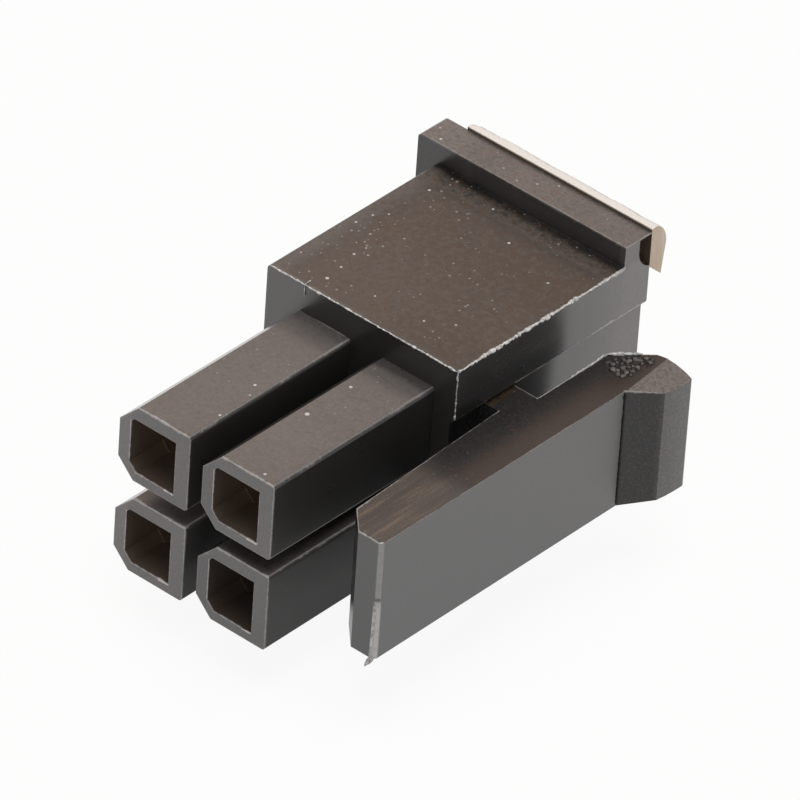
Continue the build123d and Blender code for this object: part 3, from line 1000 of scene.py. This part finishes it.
class HOUSING_OT_strip(bpy.types.Operator):
    """Replace the cream strip along the wire side by one with an uneven upper edge"""

    bl_idname = "housing.strip"
    bl_label = "Cream strip"

    def execute(self, context):
        looks = context.scene.strip_looks
        points, faces, rim = strip_surface(looks.depth / MM)
        skin = put_mesh("cream_strip", points, faces, cream_material(looks), attribute=("rim", rim))
        sharp = skin.modifiers.new("sharp_edges", "EDGE_SPLIT")
        sharp.split_angle = math.radians(40)
        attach(skin, "root")
        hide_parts("rear_strip")
        return {"FINISHED"}


def camera_axes(stage):
    """Right, up and forward of the camera, from its azimuth, elevation and roll."""
    a, e, r = stage.azimuth, stage.elevation, stage.roll
    forward = Vector((-math.sin(a) * math.cos(e), math.cos(a) * math.cos(e), -math.sin(e)))
    right = Vector((math.cos(a), math.sin(a), 0.0))
    up = right.cross(forward)
    return right * math.cos(r) + up * math.sin(r), up * math.cos(r) - right * math.sin(r), forward


def add_camera(stage):
    right, up, forward = camera_axes(stage)
    data = bpy.data.cameras.new("camera")
    data.lens = stage.lens
    data.sensor_width = 36.0
    data.clip_start = 0.01
    data.clip_end = 10.0
    data.shift_x = 0.0045
    data.shift_y = 0.0067
    camera = bpy.data.objects.new("camera", data)
    place = Vector(stage.aim) - forward * stage.distance
    turn = Matrix((right, up, -forward)).transposed().to_4x4()
    camera.matrix_world = Matrix.Translation(place) @ turn
    bpy.context.scene.collection.objects.link(camera)
    bpy.context.scene.camera = camera


def add_lamp(name, toward, distance, size, power, colour):
    """Square soft lamp that looks at the housing from the direction given."""
    data = bpy.data.lights.new(name, "AREA")
    data.shape = "SQUARE"
    data.size = size
    data.energy = power
    data.color = colour
    lamp = bpy.data.objects.new(name, data)
    direction = Vector(toward).normalized()
    lamp.location = Vector((0.001, 0.007, 0.0)) + direction * distance
    lamp.rotation_euler = direction.to_track_quat("Z", "Y").to_euler()
    bpy.context.scene.collection.objects.link(lamp)


def floor_material(colour):
    """Pale floor: it keeps shadows, and what the camera and reflections see of it is near white."""
    t = Tree("pale_floor")
    rays = t.node("ShaderNodeLightPath").socket.node
    seen = Value(t, rays.outputs["Is Camera Ray"])
    glossy = Value(t, rays.outputs["Is Glossy Ray"])
    passing = Value(t, rays.outputs["Is Transmission Ray"])
    diffuse = t.node("ShaderNodeBsdfDiffuse", None, {"Color": (*colour, 1.0)})
    glow = t.node("ShaderNodeEmission", None, {"Color": (1, 1, 1, 1), "Strength": 1.0})
    factor = (seen * 0.92 + glossy.most(passing) * 0.46).clamp()
    return t.finish(t.node("ShaderNodeMixShader", None, [factor, diffuse, glow]))


def studio_world():
    """White surroundings of even brightness."""
    world = bpy.data.worlds.new("studio")
    world.use_nodes = True
    back = world.node_tree.nodes["Background"]
    back.inputs["Color"].default_value = (1.0, 1.0, 1.0, 1.0)
    back.inputs["Strength"].default_value = 0.38
    bpy.context.scene.world = world


class HOUSING_OT_stage(bpy.types.Operator):
    """Set up the floor, the lamps and the camera of the photograph"""

    bl_idname = "housing.stage"
    bl_label = "Stage"

    def execute(self, context):
        stage = context.scene.stage_looks
        low = CAD_BOX[0][2]
        half = 0.6
        corners = [(-half, -half, low), (half, -half, low), (half, half, low), (-half, half, low)]
        floor = put_mesh("floor", corners, [(0, 1, 2, 3)], floor_material(stage.floor_colour), smooth=False)
        add_lamp(
            "rear_lamp", toward=(-0.51, 0.62, 0.62), distance=0.40, size=0.46, power=0.35,
            colour=(1.0, 0.67, 0.51),
        )
        add_lamp(
            "overhead_lamp", toward=(0.15, -0.10, 1.0), distance=0.45, size=0.30, power=1.00,
            colour=(1.0, 1.0, 1.0),
        )
        studio_world()
        add_camera(stage)
        context.scene.view_settings.view_transform = "Standard"
        return {"FINISHED"}


class HOUSING_PT_panel(bpy.types.Panel):
    """Lists the steps in the sidebar"""

    bl_label = "Receptacle housing"
    bl_idname = "HOUSING_PT_panel"
    bl_space_type = "VIEW_3D"
    bl_region_type = "UI"
    bl_category = "Housing"

    def draw(self, context):
        for step in STEPS:
            self.layout.operator(step.bl_idname)


STEPS = (HOUSING_OT_moulding, HOUSING_OT_burr, HOUSING_OT_scar, HOUSING_OT_strip, HOUSING_OT_stage)
GROUPS = (
    (HousingLooks, "housing_looks"),
    (BurrLooks, "burr_looks"),
    (ScarLooks, "scar_looks"),
    (StripLooks, "strip_looks"),
    (StageLooks, "stage_looks"),
)


def register():
    for group, name in GROUPS:
        bpy.utils.register_class(group)
        setattr(bpy.types.Scene, name, bpy.props.PointerProperty(type=group))
    for step in (*STEPS, HOUSING_PT_panel):
        bpy.utils.register_class(step)


def unregister():
    for step in (HOUSING_PT_panel, *reversed(STEPS)):
        bpy.utils.unregister_class(step)
    for group, name in reversed(GROUPS):
        delattr(bpy.types.Scene, name)
        bpy.utils.unregister_class(group)


def main():
    register()
    bpy.ops.housing.moulding()
    bpy.ops.housing.burr()
    bpy.ops.housing.scar()
    bpy.ops.housing.strip()
    bpy.ops.housing.stage()


if __name__ == "__main__":
    main()
